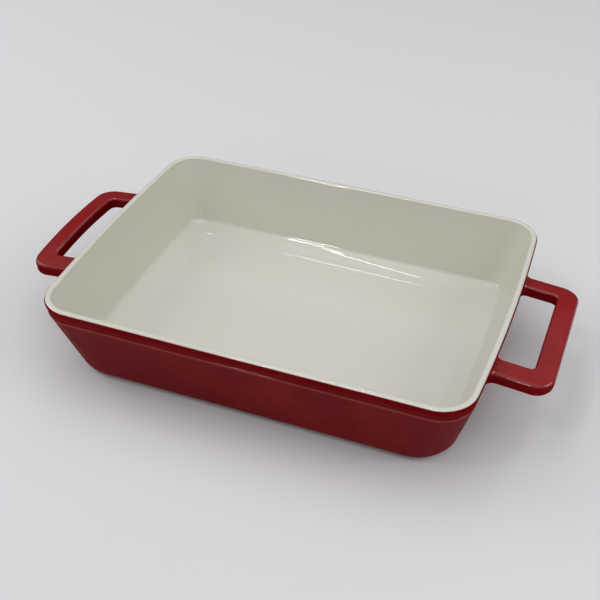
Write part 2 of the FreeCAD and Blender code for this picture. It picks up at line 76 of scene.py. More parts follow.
# sizes of the glazed dish in metres; an inset is measured in from the rim's outline
dish = {
    "length": 0.340,
    "width": 0.2522,
    "height": 0.06998,
    "endBow": 0.0046,         # how far the short ends bulge
    "rimCorner": 0.0282,      # plan radius of the corners
    "rimWall": 0.0058,
    "rimOuter": 0.0022,       # rounding of the rim's outer edge
    "rimInner": 0.0015,       # and of its inner edge
    "ledgeLevel": 0.0597,     # the wall steps out here, under the collar
    "ledgeRise": 0.0008,      # the step slopes up this much to the collar
    "ledgeRound": 0.0007,
    "tuckRound": 0.0005,
    "collarInset": 0.0031,    # foot of the collar
    "wallTopInset": 0.0024,
    "baseLevel": 0.0015,
    "baseInset": 0.0180,
    "baseRound": 0.009,
    "baseCorner": 0.031,
    "creaseInset": 0.0238,    # foot of the inner wall
    "creaseLevel": 0.0165,
    "creaseRound": 0.0055,
    "creaseCorner": 0.012,
    "sweepSlope": 27.0,       # degrees that the sweep falls just inside the crease
    "sweepRound": 0.049,      # easing into the floor
    "floorLead": 1.1,         # the section ends this many easing lengths past the sweep
    "sweepCorner": 0.018,
    "floorLevel": 0.009,
    "footOuter": 0.0320,
    "footInner": 0.0370,
    "footCorner": 0.014,
    "footRound": 0.0009,
    "coat": 0.0005,           # glaze thickness
    "lineLevel": 0.0691,      # where the cream glaze meets the red
    "lineWander": 0.00012,    # how far that line strays
    "lineReach": 0.0003,      # how far from the line that shows
    "lineWaves": ((5, 1.0, 0.6), (13, 0.6, 2.1), (29, 0.4, 0.0)),  # waves round the dish, weight, phase
    "edgeShares": (0.04, 0.15, 0.35, 0.65, 1.0),  # extra rows at a coat's edge, in coat thicknesses
    "floorSag": 0.0002,       # the floor's slow dip towards its middle
}
ringCount = {"side": 80, "corner": 26, "end": 56}  # points round half the dish
rowCount = {  # rows of the section from the foot to the floor, and of the flats that close it
    "runs": (8, 30, 4, 20, 6, 26, 5, 2),
    "turns": (18, 9, 8, 14, 12, 12, 24),
    "floor": 18,
    "under": 10,
}
endRadius = dish["width"] ** 2 / (8 * dish["endBow"]) + dish["endBow"] / 2


# straight run between two points of the profile
def lineRun(start, stop, count):
    t = np.linspace(0, 1, count)[:, None]
    return np.array(start) * (1 - t) + np.array(stop) * t


# arc of the profile: centre + radius * (cos a, sin a), a in degrees
def arcRun(centre, radius, fromDegree, toDegree, count):
    a = np.radians(np.linspace(fromDegree, toDegree, count))[:, None]
    return np.array(centre) + radius * np.hstack([np.cos(a), np.sin(a)])


# points along a path of straight runs whose corners are arcs of the given radii, with the path's own
# count of corners passed so far beside each point. counts are points on each run and on each corner.
def roundedRun(corners, radii, runCounts, cornerCounts):
    corners = np.array(corners)
    steps = np.diff(corners, axis=0)
    lengths = np.linalg.norm(steps, axis=1)
    ways = steps / lengths[:, None]
    headings = np.degrees(np.unwrap(np.arctan2(ways[:, 1], ways[:, 0])))
    turns = np.diff(headings)
    cut = np.concatenate([[0], np.array(radii) * np.tan(np.radians(np.abs(turns)) / 2), [0]])
    points, passed = [], []
    for k, way in enumerate(ways):
        share = np.linspace(cut[k] / lengths[k], 1 - cut[k + 1] / lengths[k], runCounts[k])
        points.append(corners[k] + share[:, None] * steps[k])
        passed.append(k + share)
        if k < len(turns):
            side = np.sign(turns[k])
            centre = points[-1][-1] + side * radii[k] * np.array([-way[1], way[0]])
            outward = headings[k] - 90 * side
            points.append(arcRun(centre, radii[k], outward, outward + turns[k], cornerCounts[k])[1:-1])
            after = k + 1 + cut[k + 1] / lengths[k + 1]
            passed.append(np.linspace(passed[-1][-1], after, cornerCounts[k])[1:-1])
    return np.vstack(points), np.concatenate(passed)


# section through the glazed wall as rows of inset, level and plan radius of the corners, from the foot up
# over the ledge, collar and rim and down to the floor
def glazedSection(d):
    fall = d["creaseLevel"] - d["floorLevel"]
    sweepInset = d["creaseInset"] + fall / math.tan(math.radians(d["sweepSlope"]))
    easing = d["sweepRound"] * math.tan(math.radians(d["sweepSlope"]) / 2)
    collarFoot = d["ledgeLevel"] + d["ledgeRise"]
    turns = [  # inset, level, plan radius, rounding
        (d["footOuter"], d["baseLevel"], d["baseCorner"] + d["baseInset"] - d["footOuter"], 0),
        (d["baseInset"], d["baseLevel"], d["baseCorner"], d["baseRound"]),
        (d["wallTopInset"], d["ledgeLevel"], d["rimCorner"] - d["wallTopInset"], d["ledgeRound"]),
        (d["collarInset"], collarFoot, d["rimCorner"] - d["collarInset"], d["tuckRound"]),
        (0, d["height"], d["rimCorner"], d["rimOuter"]),
        (d["rimWall"], d["height"], d["rimCorner"] - d["rimWall"], d["rimInner"]),
        (d["creaseInset"], d["creaseLevel"], d["creaseCorner"], d["creaseRound"]),
        (sweepInset, d["floorLevel"], d["sweepCorner"], d["sweepRound"]),
        (sweepInset + easing * d["floorLead"], d["floorLevel"], d["sweepCorner"], 0),
    ]
    inset, level, corner, rounding = np.array(turns).T
    points, passed = roundedRun(np.stack([-inset, level], 1), rounding[1:-1],
                                rowCount["runs"], rowCount["turns"])
    return np.stack([-points[:, 0], points[:, 1], np.interp(passed, np.arange(len(turns)), corner)], 1)


# unit normal of a section, out of the clay: the tangent turned a quarter
def sectionNormal(section):
    tangent = np.gradient(section[:, :2] * (-1, 1), axis=0)
    tangent /= np.linalg.norm(tangent, axis=1, keepdims=True)
    return np.stack([tangent[:, 1], -tangent[:, 0]], 1)


# section moved along its normal; the plan radius changes as much as the inset does
def offsetSection(section, distance):
    shift = sectionNormal(section) * np.broadcast_to(np.asarray(distance), (len(section),))[:, None]
    inset = section[:, 0] - shift[:, 0]
    return np.stack([inset, section[:, 1] + shift[:, 1], section[:, 2] - (inset - section[:, 0])], 1)


# plan outline for each row of a section: straight long sides, round corners and bowed ends,
# counter-clockwise from the front left. The second half is the first turned half way round.
# shrink draws a row in to the middle.
def carryRound(section, shrink=None):
    inset, level, corner = (section[:, k][:, None] for k in range(3))
    halfLength = dish["length"] / 2 - inset
    halfWidth = dish["width"] / 2 - inset
    endX = halfLength - endRadius
    cornerY = halfWidth - corner
    cornerX = endX + np.sqrt((endRadius - corner) ** 2 - cornerY ** 2)
    turn = np.arctan2(cornerY, cornerX - endX)
    side = np.linspace(-1, 1, ringCount["side"], endpoint=False)
    bend = np.linspace(0, 1, ringCount["corner"], endpoint=False)
    bow = np.linspace(-1, 1, ringCount["end"], endpoint=False)
    front = -np.pi / 2 + bend * (np.pi / 2 - turn)
    rear = turn + bend * (np.pi / 2 - turn)
    x = np.hstack([cornerX * side, cornerX + corner * np.cos(front),
                   endX + endRadius * np.cos(bow * turn), cornerX + corner * np.cos(rear)])
    y = np.hstack([-halfWidth + 0 * side, -cornerY + corner * np.sin(front),
                   endRadius * np.sin(bow * turn), cornerY + corner * np.sin(rear)])
    k = 1 if shrink is None else np.asarray(shrink)[:, None]
    x, y = np.hstack([x, -x]) * k, np.hstack([y, -y]) * k
    return np.stack([x, y, np.broadcast_to(level, x.shape)], -1)


# rows of points to a closed mesh: columns run round and close, rows close too if loop is set, else each end
# is a pole. marks are named values on the points, one per row or one per point.
def gridPiece(name, points, marks, loop=False):
    rows, columns = points.shape[:2]
    number = np.arange(rows * columns).reshape(rows, columns)
    near, far = (number, np.roll(number, -1, 0)) if loop else (number[:-1], number[1:])
    quads = np.stack([near, np.roll(near, -1, 1), np.roll(far, -1, 1), far], -1).reshape(-1, 4)
    verts, faces = points.reshape(-1, 3), quads.tolist()
    marks = {key: np.broadcast_to(mark, (rows, columns)).reshape(-1) for key, mark in marks.items()}
    if not loop:
        poles = points[[0, -1]].mean(1)
        verts = np.vstack([verts, poles])
        first, last = rows * columns, rows * columns + 1
        ends = np.roll(number, -1, 1)
        faces += np.stack([ends[0], number[0], np.full(columns, first)], -1).tolist()
        faces += np.stack([number[-1], ends[-1], np.full(columns, last)], -1).tolist()
        marks = {key: np.concatenate([mark, mark[[0, -1]]]) for key, mark in marks.items()}
    mesh = bpy.data.meshes.new(name)
    mesh.from_pydata(verts.tolist(), [], faces)
    mesh.polygons.foreach_set("use_smooth", np.ones(len(faces), bool))
    for key, mark in marks.items():
        mesh.attributes.new(key, "FLOAT", "POINT").data.foreach_set("value", mark.astype(np.float32))
    mesh.update()
    piece = bpy.data.objects.new(name, mesh)
    scene.collection.objects.link(piece)
    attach(piece, "root")
    return piece


# distance along a section from its first row: the row steps added up
def lengthAlong(section):
    return np.concatenate([[0], np.cumsum(np.hypot(*np.diff(section[:, :2], axis=0).T))])


# how sharply a section turns outwards, 1 on the ledge: there glaze runs thin
def sectionRidge(section):
    normal = sectionNormal(section)
    heading = np.unwrap(np.arctan2(normal[:, 1], normal[:, 0]))
    return np.clip(np.gradient(heading, lengthAlong(section)) * dish["ledgeRound"], -1, 1)


# a coat thins to nothing over its edge like a quarter circle
def coatEdge(section, fromStart, fromEnd):
    along = lengthAlong(section)
    edge = dish["coat"]
    near = np.full(len(section), edge)
    near = np.minimum(near, along) if fromStart else near
    near = np.minimum(near, along[-1] - along) if fromEnd else near
    return edge * np.sqrt(1 - (1 - near / edge) ** 2)


# rows that close a flat area: the last outline drawn in towards the middle
def flatRows(row, level, count):
    shrink = np.linspace(1, 0, count + 2)[1:-1]
    return np.tile([row[0], level, row[2]], (count, 1)), shrink


# extra rows close to a coat's edge, so that the edge turns over smoothly
def edgeRows(section, atStart):
    fine = np.array(dish["edgeShares"]) * dish["coat"]
    along = lengthAlong(section)
    places = np.union1d(along, fine if atStart else along[-1] - fine)
    return np.stack([np.interp(places, along, section[:, k]) for k in range(3)], 1)


section = glazedSection(dish)
clay = offsetSection(section, -dish["coat"])
lineRow = int(np.argmax(section[:, 1] > dish["lineLevel"]))
floorRows, floorShrink = flatRows(section[-1], dish["floorLevel"], rowCount["floor"])
print("section:", len(section), "rows, corner radius",
      round(float(section[:, 2].min()), 4), "to", round(float(section[:, 2].max()), 4))


# level of the glaze line wanders a little round the dish: a few slow waves of the outline's angle
def lineWaves(points):
    angle = np.arctan2(points[..., 1] / dish["width"], points[..., 0] / dish["length"])
    wave = sum(weight * np.sin(count * angle + phase) for count, weight, phase in dish["lineWaves"])
    near = np.exp(-((points[..., 2] - dish["lineLevel"]) / dish["lineReach"]) ** 2)
    outer = points.copy()
    outer[..., 2] += dish["lineWander"] * wave * near
    return outer


# how strongly the gloss shows: the collar hardly catches any light, the ledge and the rim's edges most
shine = {
    "wall": 0.16,
    "collar": 0.012,          # under the rim
    "collarFoot": 0.16,       # above the ledge
    "ledge": 0.26,
    "liner": 0.40,
    "linerEdge": 1.0,
    "edgeGain": 6,            # how soon a turn of the liner counts as an edge
    "handleSide": 0.02,
    "handleTop": 0.24,
    "handleEdge": 0.9,
}


# red coat: the clay's section from the foot to the glaze line, its outer face there and the clay's face back
def makeRedWall():
    part = edgeRows(edgeRows(clay[:lineRow + 1], True), False)
    visible = offsetSection(part, coatEdge(part, True, True))
    rows = np.vstack([visible, part[::-1][1:-1]])
    below = visible[:, 1] < dish["ledgeLevel"] + dish["ledgeRise"] / 2
    ridge = np.clip(sectionRidge(visible), 0, 1) * below
    collarHeight = dish["lineLevel"] - dish["ledgeLevel"]
    drop = np.clip((dish["lineLevel"] - visible[:, 1]) / collarHeight, 0, 1)
    collar = shine["collar"] + (shine["collarFoot"] - shine["collar"]) * drop ** 2
    gloss = np.where(below, shine["wall"], collar) + shine["ledge"] * ridge
    back = np.zeros(len(part) - 2)
    marks = {"thinGlazeAndLight": np.concatenate([ridge, back])[:, None],
             "shine": np.concatenate([gloss, back])[:, None]}
    piece = gridPiece("redWallGlaze", lineWaves(carryRound(rows)), marks, loop=True)
    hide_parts("red_wall_glaze")
    return piece


# cream coat: from the floor's middle under the coat, up the clay's face to the glaze line, and back down its
# own face to the middle
def makeCreamLiner():
    part = edgeRows(clay[lineRow:], True)
    visible = offsetSection(part, coatEdge(part, True, False))
    under = np.tile([part[-1, 0], part[-1, 1], part[-1, 2]], (len(floorShrink), 1))
    rows = np.vstack([under[::-1], part[::-1], visible[1:], floorRows])
    shrink = np.concatenate([floorShrink[::-1], np.ones(len(part) + len(visible) - 1), floorShrink])
    ridge = np.concatenate([np.zeros(len(under) + len(part)), sectionRidge(visible)[1:],
                            np.zeros(len(floorRows))])
    turned = np.clip(shine["edgeGain"] * np.abs(ridge), 0, 1)
    gloss = shine["liner"] + (shine["linerEdge"] - shine["liner"]) * turned
    level = np.clip(sectionNormal(visible)[1:, 1], 0, 1) ** 2  # 1 where flat: painted light, up-facing faces get the paler, less yellow colour and the walls keep the yellower one
    pale = np.concatenate([np.zeros(len(under) + len(part)), level, np.ones(len(floorRows))])
    points = lineWaves(carryRound(rows, shrink))
    sag = np.zeros(len(rows))
    sag[-len(floorRows):] = dish["floorSag"] * np.sin((1 - floorShrink) * np.pi / 2) ** 2
    points[..., 2] -= sag[:, None]
    piece = gridPiece("creamLinerGlaze", points, {"thinGlazeAndLight": pale[:, None], "shine": gloss[:, None]})
    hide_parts("cream_liner_glaze")
    return piece


redWall = makeRedWall()
creamLiner = makeCreamLiner()
print("glazes made")


footCount = {"run": 4, "turn": 7, "flat": 5, "coat": 6}  # points on the foot ring's section


# bare foot ring under the clay: flat face with rounded edges, and the clay's whole section above it
def makeTray():
    d = dish
    top = d["baseLevel"] + d["coat"]
    inner, outer, r = d["footInner"], d["footOuter"], d["footRound"]
    ringSection = np.vstack([
        lineRun([-inner, top], [-inner, r], footCount["run"]),
        arcRun([-inner + r, r], r, 180, 270, footCount["turn"])[1:],
        lineRun([-inner + r, 0], [-outer - r, 0], footCount["flat"])[1:],
        arcRun([-outer - r, r], r, 270, 360, footCount["turn"])[1:],
        lineRun([-outer, r], [-outer, top], footCount["run"])[1:],
    ])
    inset = -ringSection[:, 0]
    ringRows = np.stack([inset, ringSection[:, 1], d["footCorner"] - (inset - outer)], 1)
    under, underShrink = flatRows(ringRows[0], top, rowCount["under"])
    inside, insideShrink = flatRows(clay[-1], clay[-1, 1], rowCount["under"])
    rows = np.vstack([under[::-1], ringRows, clay[1:], inside])
    shrink = np.concatenate([underShrink[::-1], np.ones(len(ringRows) + len(clay) - 1), insideShrink])
    piece = gridPiece("stonewareTray", carryRound(rows, shrink), {})
    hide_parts("stoneware_tray")
    return piece


# glaze pooled inside the foot ring, facing down, with a rounded edge against the ring
def makeUnderside():
    d = dish
    low, high, r = d["baseLevel"], d["baseLevel"] + d["coat"], d["coat"]
    edge = arcRun([-d["footInner"] - r, high], r, -90, 0, footCount["coat"])
    inset = -edge[:, 0]
    edgeSection = np.stack([inset, edge[:, 1], d["footCorner"] - (inset - d["footOuter"])], 1)
    flat, flatShrink = flatRows(edgeSection[0], low, rowCount["under"])
    back = np.tile([edgeSection[-1, 0], high, edgeSection[-1, 2]], (len(flat), 1))
    rows = np.vstack([flat[::-1], edgeSection, back])
    shrink = np.concatenate([flatShrink[::-1], np.ones(len(edgeSection)), flatShrink])
    piece = gridPiece("redUndersideGlaze", carryRound(rows, shrink), {"shine": np.array(shine["wall"])})
    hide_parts("red_underside_glaze")
    return piece


tray = makeTray()
underside = makeUnderside()
print("tray and underside made")

# loop handle in metres, in its own frame: x out from the wall, y along it, h up
handle = {
    "level": 0.0556,          # middle of a leg where it meets the wall
    "droop": 5.4,             # degrees down towards the grip
    "arch": 0.0042,           # rise of the grip's middle over the legs' outer sides
    "reach": 0.0398,          # past the rim's end
    "span": 0.124,
    "leg": 0.0165,
    "bar": 0.0160,
    "thickness": 0.010,
    "outerCorner": 0.014,
    "innerCorner": 0.004,
    "round": 0.0028,
    "flareSide": 0.0042,      # fillet into the wall beside a leg
    "flareTop": 0.0042,
    "flareUnder": 0.0055,
    "flareEnd": 0.008,        # where the legs are straight again
    "sink": 0.0004,           # how far the fillet's edge dips into the wall
    "rootBunch": 1.6,         # power by which the root's rings crowd towards the wall
    "edgeThin": 0.2,          # how thin the glaze runs along the edges
    "topPaintedSheen": 0.7,           # and painted sheen over the top: lighter the more a face turns up
    "glossFrom": 0.35,        # upward share of the normal where the top's gloss begins
    "glossFade": 0.35,        # and over which it grows
}
handleCount = {"leg": 7, "turn": 13, "grip": 22, "round": 8, "flat": 5, "root": 15, "meet": 6}


# x of the glazed wall's outside at y, z: the bowed end drawn in by the section's inset at that level
def wallOutside(y, z):
    outer = section[:lineRow]
    rising = outer[np.concatenate([[False], np.diff(outer[:, 1]) > 0])]
    inset = np.interp(z, rising[:, 1], rising[:, 0])
    return dish["length"] / 2 - inset - endRadius + np.sqrt(endRadius ** 2 - y ** 2)


# half of the loop in plan, from the wall to the middle of the grip: the inner and the outer edge go
# together, each a leg, a quarter turn and half the grip
def loopEdges(h, length):
    edges = []
    for far, wide, radius in ((length - h["bar"], h["span"] / 2 - h["leg"], h["innerCorner"]),
                              (length, h["span"] / 2, h["outerCorner"])):
        leg = lineRun([h["flareEnd"], wide], [far - radius, wide], handleCount["leg"])
        turn = arcRun([far - radius, wide - radius], radius, 90, 0, handleCount["turn"])
        grip = lineRun([far, wide - radius], [far, 0], handleCount["grip"])
        edges.append(np.vstack([leg, turn[1:], grip[1:]]))
    return edges


# rounded rectangle round a leg as four rows: shares of the flat half width and half height, and the normal's
# two parts
def legSection():
    turnCount, flatCount = handleCount["round"], handleCount["flat"]
    parts = []
    for quarterTurn in range(4):
        start = quarterTurn * np.pi / 2
        a = np.linspace(start, start + np.pi / 2, turnCount)
        sideW = np.sign(np.cos(start + np.pi / 4)) * np.ones(turnCount)
        sideH = np.sign(np.sin(start + np.pi / 4)) * np.ones(turnCount)
        parts.append(np.stack([sideW, sideH, np.cos(a), np.sin(a)]))
        t = np.linspace(0, 1, flatCount + 2)[1:-1]
        nextW = np.sign(np.cos(start + np.pi * 3 / 4))
        nextH = np.sign(np.sin(start + np.pi * 3 / 4))
        parts.append(np.stack([sideW[0] + (nextW - sideW[0]) * t, sideH[0] + (nextH - sideH[0]) * t,
                               np.full(flatCount, np.cos(start + np.pi / 2)),
                               np.full(flatCount, np.sin(start + np.pi / 2))]))
    return np.hstack(parts)


# height on the arched handle: circles about one centre under the grip, level where they cross a leg's middle
def archUp(h, y, up):
    radius = h["span"] ** 2 / (8 * h["arch"]) + h["arch"] / 2
    legMiddle = (h["span"] - h["leg"]) / 2
    return np.sqrt((radius + up) ** 2 - y ** 2) - math.sqrt(radius ** 2 - legMiddle ** 2)


# one surface of the handle, grown by a distance: rings from the front wall round the loop to the rear wall.
# Near the wall a ring spreads by R - sqrt(R^2 - (R - d)^2) at distance d, and follows the wall's own shape.
# flared is off for straight legs. rootOnly gives the rings of the rear leg's root alone, from the wall out.
def handleSurface(h, grow, flared=True, rootOnly=False):
    outX = dish["length"] / 2 + h["reach"]
    rootX = float(wallOutside(np.array(0.0), np.array(h["level"])))
    droop = math.radians(h["droop"])
    inner, outer = loopEdges(h, outX - rootX)
    sideW, sideH, normalW, normalH = legSection()
    radius = h["round"] + grow
    halfHeight = h["thickness"] / 2 + grow
    middle, across = (inner + outer) / 2, outer - inner
    halfWidth = np.linalg.norm(across, axis=1) / 2 + grow
    across /= np.linalg.norm(across, axis=1, keepdims=True)
    w = sideW * (halfWidth[:, None] - radius) + radius * normalW
    loopY = middle[:, 1:] + across[:, 1:] * w
    loopUp = archUp(h, loopY, sideH * (halfHeight - radius) + radius * normalH)
    loop = np.stack([middle[:, :1] + across[:, :1] * w, loopY, loopUp], -1)
    # root rings, from the wall out
    flare = h["flareSide"] + np.maximum(normalH, 0) * (h["flareTop"] - h["flareSide"]) \
        + np.maximum(-normalH, 0) * (h["flareUnder"] - h["flareSide"])
    share = np.concatenate([[0], np.linspace(0, 1, handleCount["root"]) ** h["rootBunch"]])[:, None]
    distance = share * h["flareEnd"]
    inside = np.maximum(flare - distance, 0)
    spread = flared * (flare - np.sqrt(flare ** 2 - inside ** 2)) + grow
    spread[0] += h["sink"]
    legHalf = h["leg"] / 2
    legMiddle = h["span"] / 2 - legHalf
    y = legMiddle + sideW * (legHalf - h["round"]) + (h["round"] + spread) * normalW
    up = archUp(h, y, sideH * (h["thickness"] / 2 - h["round"]) + (h["round"] + spread) * normalH)
    wallX = np.zeros_like(y)
    for _ in range(handleCount["meet"]):  # the drooped line through each point meets the wall
        z = h["level"] - wallX * math.sin(droop) + up * math.cos(droop)
        wallX = (wallOutside(y, z) - rootX - up * math.sin(droop)) / math.cos(droop)
    follow = 1 - share ** 2 * (3 - 2 * share)
    x = wallX * follow + distance
    x[0] -= h["sink"]
    root = np.stack([x, y, up], -1)
    half = np.concatenate([root[:-1], loop])
    rings = root if rootOnly else np.concatenate([half * (1, -1, 1), half[::-1][1:]])
    turnedX = rootX + rings[..., 0] * math.cos(droop) + rings[..., 2] * math.sin(droop)
    turnedZ = h["level"] - rings[..., 0] * math.sin(droop) + rings[..., 2] * math.cos(droop)
    return np.stack([turnedX, rings[..., 1], turnedZ], -1)


# the coat is the outer surface there and the clay's surface back, joined at the wall
def makeHandleGlaze(name, node, side):
    skin = handleSurface(handle, 0.0)
    core = handleSurface(handle, -dish["coat"])
    points = np.concatenate([skin, core[::-1]])
    points[..., :2] *= side
    _, _, normalW, normalH = legSection()
    edge = np.minimum(np.abs(normalW), np.abs(normalH)) * math.sqrt(2)
    # thin glaze along the edges, and painted sheen on the top faces
    thin = handle["edgeThin"] * edge + handle["topPaintedSheen"] * np.maximum(normalH, 0) ** 2
    upward = np.clip((normalH - handle["glossFrom"]) / handle["glossFade"], 0, 1)
    onTop = upward ** 2 * (3 - 2 * upward)
    gloss = shine["handleSide"] + (shine["handleTop"] - shine["handleSide"]) * onTop
    gloss += shine["handleEdge"] * edge ** 4 * (normalH > 0)  # upper edges only
    onSkin = np.repeat([1.0, 0.0], [len(skin), len(core)])[:, None]
    marks = {"thinGlazeAndLight": onSkin * thin[::-1], "shine": onSkin * gloss[::-1]}
    piece = gridPiece(name, points[:, ::-1], marks, loop=True)
    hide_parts(node)
    return piece


# clay under the glaze: the loop with straight legs, closed at the wall
def makeHandleClay(name, node, side):
    points = handleSurface(handle, -dish["coat"], flared=False) * (side, side, 1)
    piece = gridPiece(name, points[:, ::-1], {})
    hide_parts(node)
    return piece


# slip under the glaze at one leg's root: the clay's rings there, turned to their end and side
def makeSlip(name, node, endSign, sideSign):
    points = handleSurface(handle, -dish["coat"], rootOnly=True) * (endSign, sideSign, 1)
    mirrored = endSign * sideSign < 0
    piece = gridPiece(name, points if mirrored else points[:, ::-1], {})
    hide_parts(node)
    return piece


handleRight = makeHandleGlaze("redHandleGlazeRight", "red_handle_glaze_right", 1)
handleLeft = makeHandleGlaze("redHandleGlazeLeft", "red_handle_glaze_left", -1)
clayRight = makeHandleClay("handleRight", "handle_right", 1)
clayLeft = makeHandleClay("handleLeft", "handle_left", -1)
slips = [makeSlip(f"slip{end.title()}{side.title()}", f"slip_joint_{end}_{side}", endSign, sideSign)
         for end, endSign in (("left", -1), ("right", 1))
         for side, sideSign in (("front", -1), ("rear", 1))]
print("handles made")


# node helpers
def addNode(tree, kind, inputs=None, **settings):
    node = tree.nodes.new(kind)
    for name, value in settings.items():
        setattr(node, name, value)
    for name, value in (inputs or {}).items():
        node.inputs[name].default_value = value
    return node


def groupTree(name, inputs, outputs):
    tree = bpy.data.node_groups.new(name, "ShaderNodeTree")
    kinds = {"color": "NodeSocketColor", "value": "NodeSocketFloat", "vector": "NodeSocketVector"}
    for socket, kind in inputs:
        tree.interface.new_socket(socket, in_out="INPUT", socket_type=kinds[kind])
    for socket, kind in outputs:
        tree.interface.new_socket(socket, in_out="OUTPUT", socket_type=kinds[kind])
    return tree, tree.nodes.new("NodeGroupInput"), tree.nodes.new("NodeGroupOutput")


def mathNode(tree, operation, a, b, clamp=False):
    node = addNode(tree, "ShaderNodeMath", operation=operation, use_clamp=clamp)
    for socket, value in zip(node.inputs, (a, b)):
        if isinstance(value, (int, float)):
            socket.default_value = value
        else:
            tree.links.new(value, socket)
    return node.outputs["Value"]


def noiseNode(tree, place, size, detail, roughness=0.5):
    node = addNode(tree, "ShaderNodeTexNoise", {"Scale": 1 / size, "Detail": detail, "Roughness": roughness})
    tree.links.new(place, node.inputs["Vector"])
    return node.outputs["Fac"]


mixSocket = {"share": 0, "a": 6, "b": 7, "result": 2}  # the Mix node's colour sockets


def mixColor(tree, share, a, b):
    node = addNode(tree, "ShaderNodeMix", data_type="RGBA")
    tree.links.new(share, node.inputs[mixSocket["share"]])
    tree.links.new(a, node.inputs[mixSocket["a"]])
    tree.links.new(b, node.inputs[mixSocket["b"]])
    return node.outputs[mixSocket["result"]]


glazeNoise = {  # size in metres, detail
    "clouds": (0.045, 3.0),
    "mottle": (0.006, 2.0),
    "peel": (0.0022, 1.0),
    "swell": (0.030, 1.0),
}
glazeMix = {
    "mottleColor": 0.35,      # mottle beside the clouds in the colour
    "middle": 0.675,          # mean of the two together
    "base": 0.05,             # share of the thin colour everywhere
    "mottleMiddle": 0.5,
    "mottleCoat": 0.3,        # mottle in the gloss
    "coatLow": 0.85,
    "peelHeight": 0.04,       # peel beside the swell in the surface
}


# glaze: thick colour, thin colour where the coat runs thin and as painted light on faces that turn up (the
# cream liner, the handles' tops), slow clouds between them, and a skin that is never quite flat
def makeGlazeGroup():
    tree, given, made = groupTree("glazeSkin", [
        ("Place", "vector"), ("ThinGlazeAndLight", "value"), ("Shine", "value"),
        ("Thick", "color"), ("Thin", "color"), ("ThinShare", "value"),
        ("CloudShare", "value"), ("Gloss", "value"), ("GlossDrift", "value"),
    ], [("Color", "color"), ("Roughness", "value"), ("Coat", "value"), ("Height", "value")])
    give = given.outputs
    noise = {name: noiseNode(tree, give["Place"], *values) for name, values in glazeNoise.items()}
    mottle = noise["mottle"]
    dapple = mathNode(tree, "MULTIPLY", mottle, glazeMix["mottleColor"])
    patchy = mathNode(tree, "ADD", noise["clouds"], dapple)
    cloudy = mathNode(tree, "SUBTRACT", patchy, glazeMix["middle"])
    thin = mathNode(tree, "ADD", mathNode(tree, "MULTIPLY", cloudy, give["CloudShare"]),
                    mathNode(tree, "MULTIPLY", give["ThinGlazeAndLight"], give["ThinShare"]))
    share = mathNode(tree, "ADD", thin, glazeMix["base"], clamp=True)
    color = mixColor(tree, share, give["Thick"], give["Thin"])
    uneven = mathNode(tree, "SUBTRACT", mottle, glazeMix["mottleMiddle"])
    drift = mathNode(tree, "MULTIPLY", uneven, give["GlossDrift"])
    rough = mathNode(tree, "ADD", give["Gloss"], drift, clamp=True)
    patches = mathNode(tree, "MULTIPLY", mottle, glazeMix["mottleCoat"])
    coat = mathNode(tree, "MULTIPLY", give["Shine"],
                    mathNode(tree, "ADD", patches, glazeMix["coatLow"]), clamp=True)
    peel = mathNode(tree, "MULTIPLY", noise["peel"], glazeMix["peelHeight"])
    height = mathNode(tree, "ADD", noise["swell"], peel)
    for socket, value in (("Color", color), ("Roughness", rough), ("Coat", coat), ("Height", height)):
        tree.links.new(value, made.inputs[socket])
    return tree


glazeGroup = makeGlazeGroup()


def makeGlaze(name, finish):
    material = bpy.data.materials.new(name)
    material.use_nodes = True
    tree = material.node_tree
    shader = tree.nodes["Principled BSDF"]
    shader.inputs["Specular IOR Level"].default_value = finish["specular"]
    shader.inputs["Coat IOR"].default_value = finish["coatIor"]
    shader.inputs["Coat Roughness"].default_value = finish["coatRough"]
    place = addNode(tree, "ShaderNodeTexCoord").outputs["Object"]
    # thin glaze on edges and the ledge, and painted light on up-facing faces
    thinGlazeAndLight = addNode(tree, "ShaderNodeAttribute", attribute_name="thinGlazeAndLight").outputs["Fac"]
    gloss = addNode(tree, "ShaderNodeAttribute", attribute_name="shine").outputs["Fac"]
    skin = addNode(tree, "ShaderNodeGroup", node_tree=glazeGroup)
    tree.links.new(place, skin.inputs["Place"])
    tree.links.new(thinGlazeAndLight, skin.inputs["ThinGlazeAndLight"])
    tree.links.new(gloss, skin.inputs["Shine"])
    for socket in ("Thick", "Thin", "ThinShare", "CloudShare", "Gloss", "GlossDrift"):
        value = finish[socket[0].lower() + socket[1:]]
        skin.inputs[socket].default_value = (*value, 1) if isinstance(value, tuple) else value
    bump = addNode(tree, "ShaderNodeBump", {"Strength": 1.0, "Distance": finish["skinDepth"]})
    tree.links.new(skin.outputs["Height"], bump.inputs["Height"])
    tree.links.new(bump.outputs["Normal"], shader.inputs["Normal"])
    tree.links.new(bump.outputs["Normal"], shader.inputs["Coat Normal"])
    tree.links.new(skin.outputs["Color"], shader.inputs["Base Color"])
    tree.links.new(skin.outputs["Roughness"], shader.inputs["Roughness"])
    tree.links.new(skin.outputs["Coat"], shader.inputs["Coat Weight"])
    return material


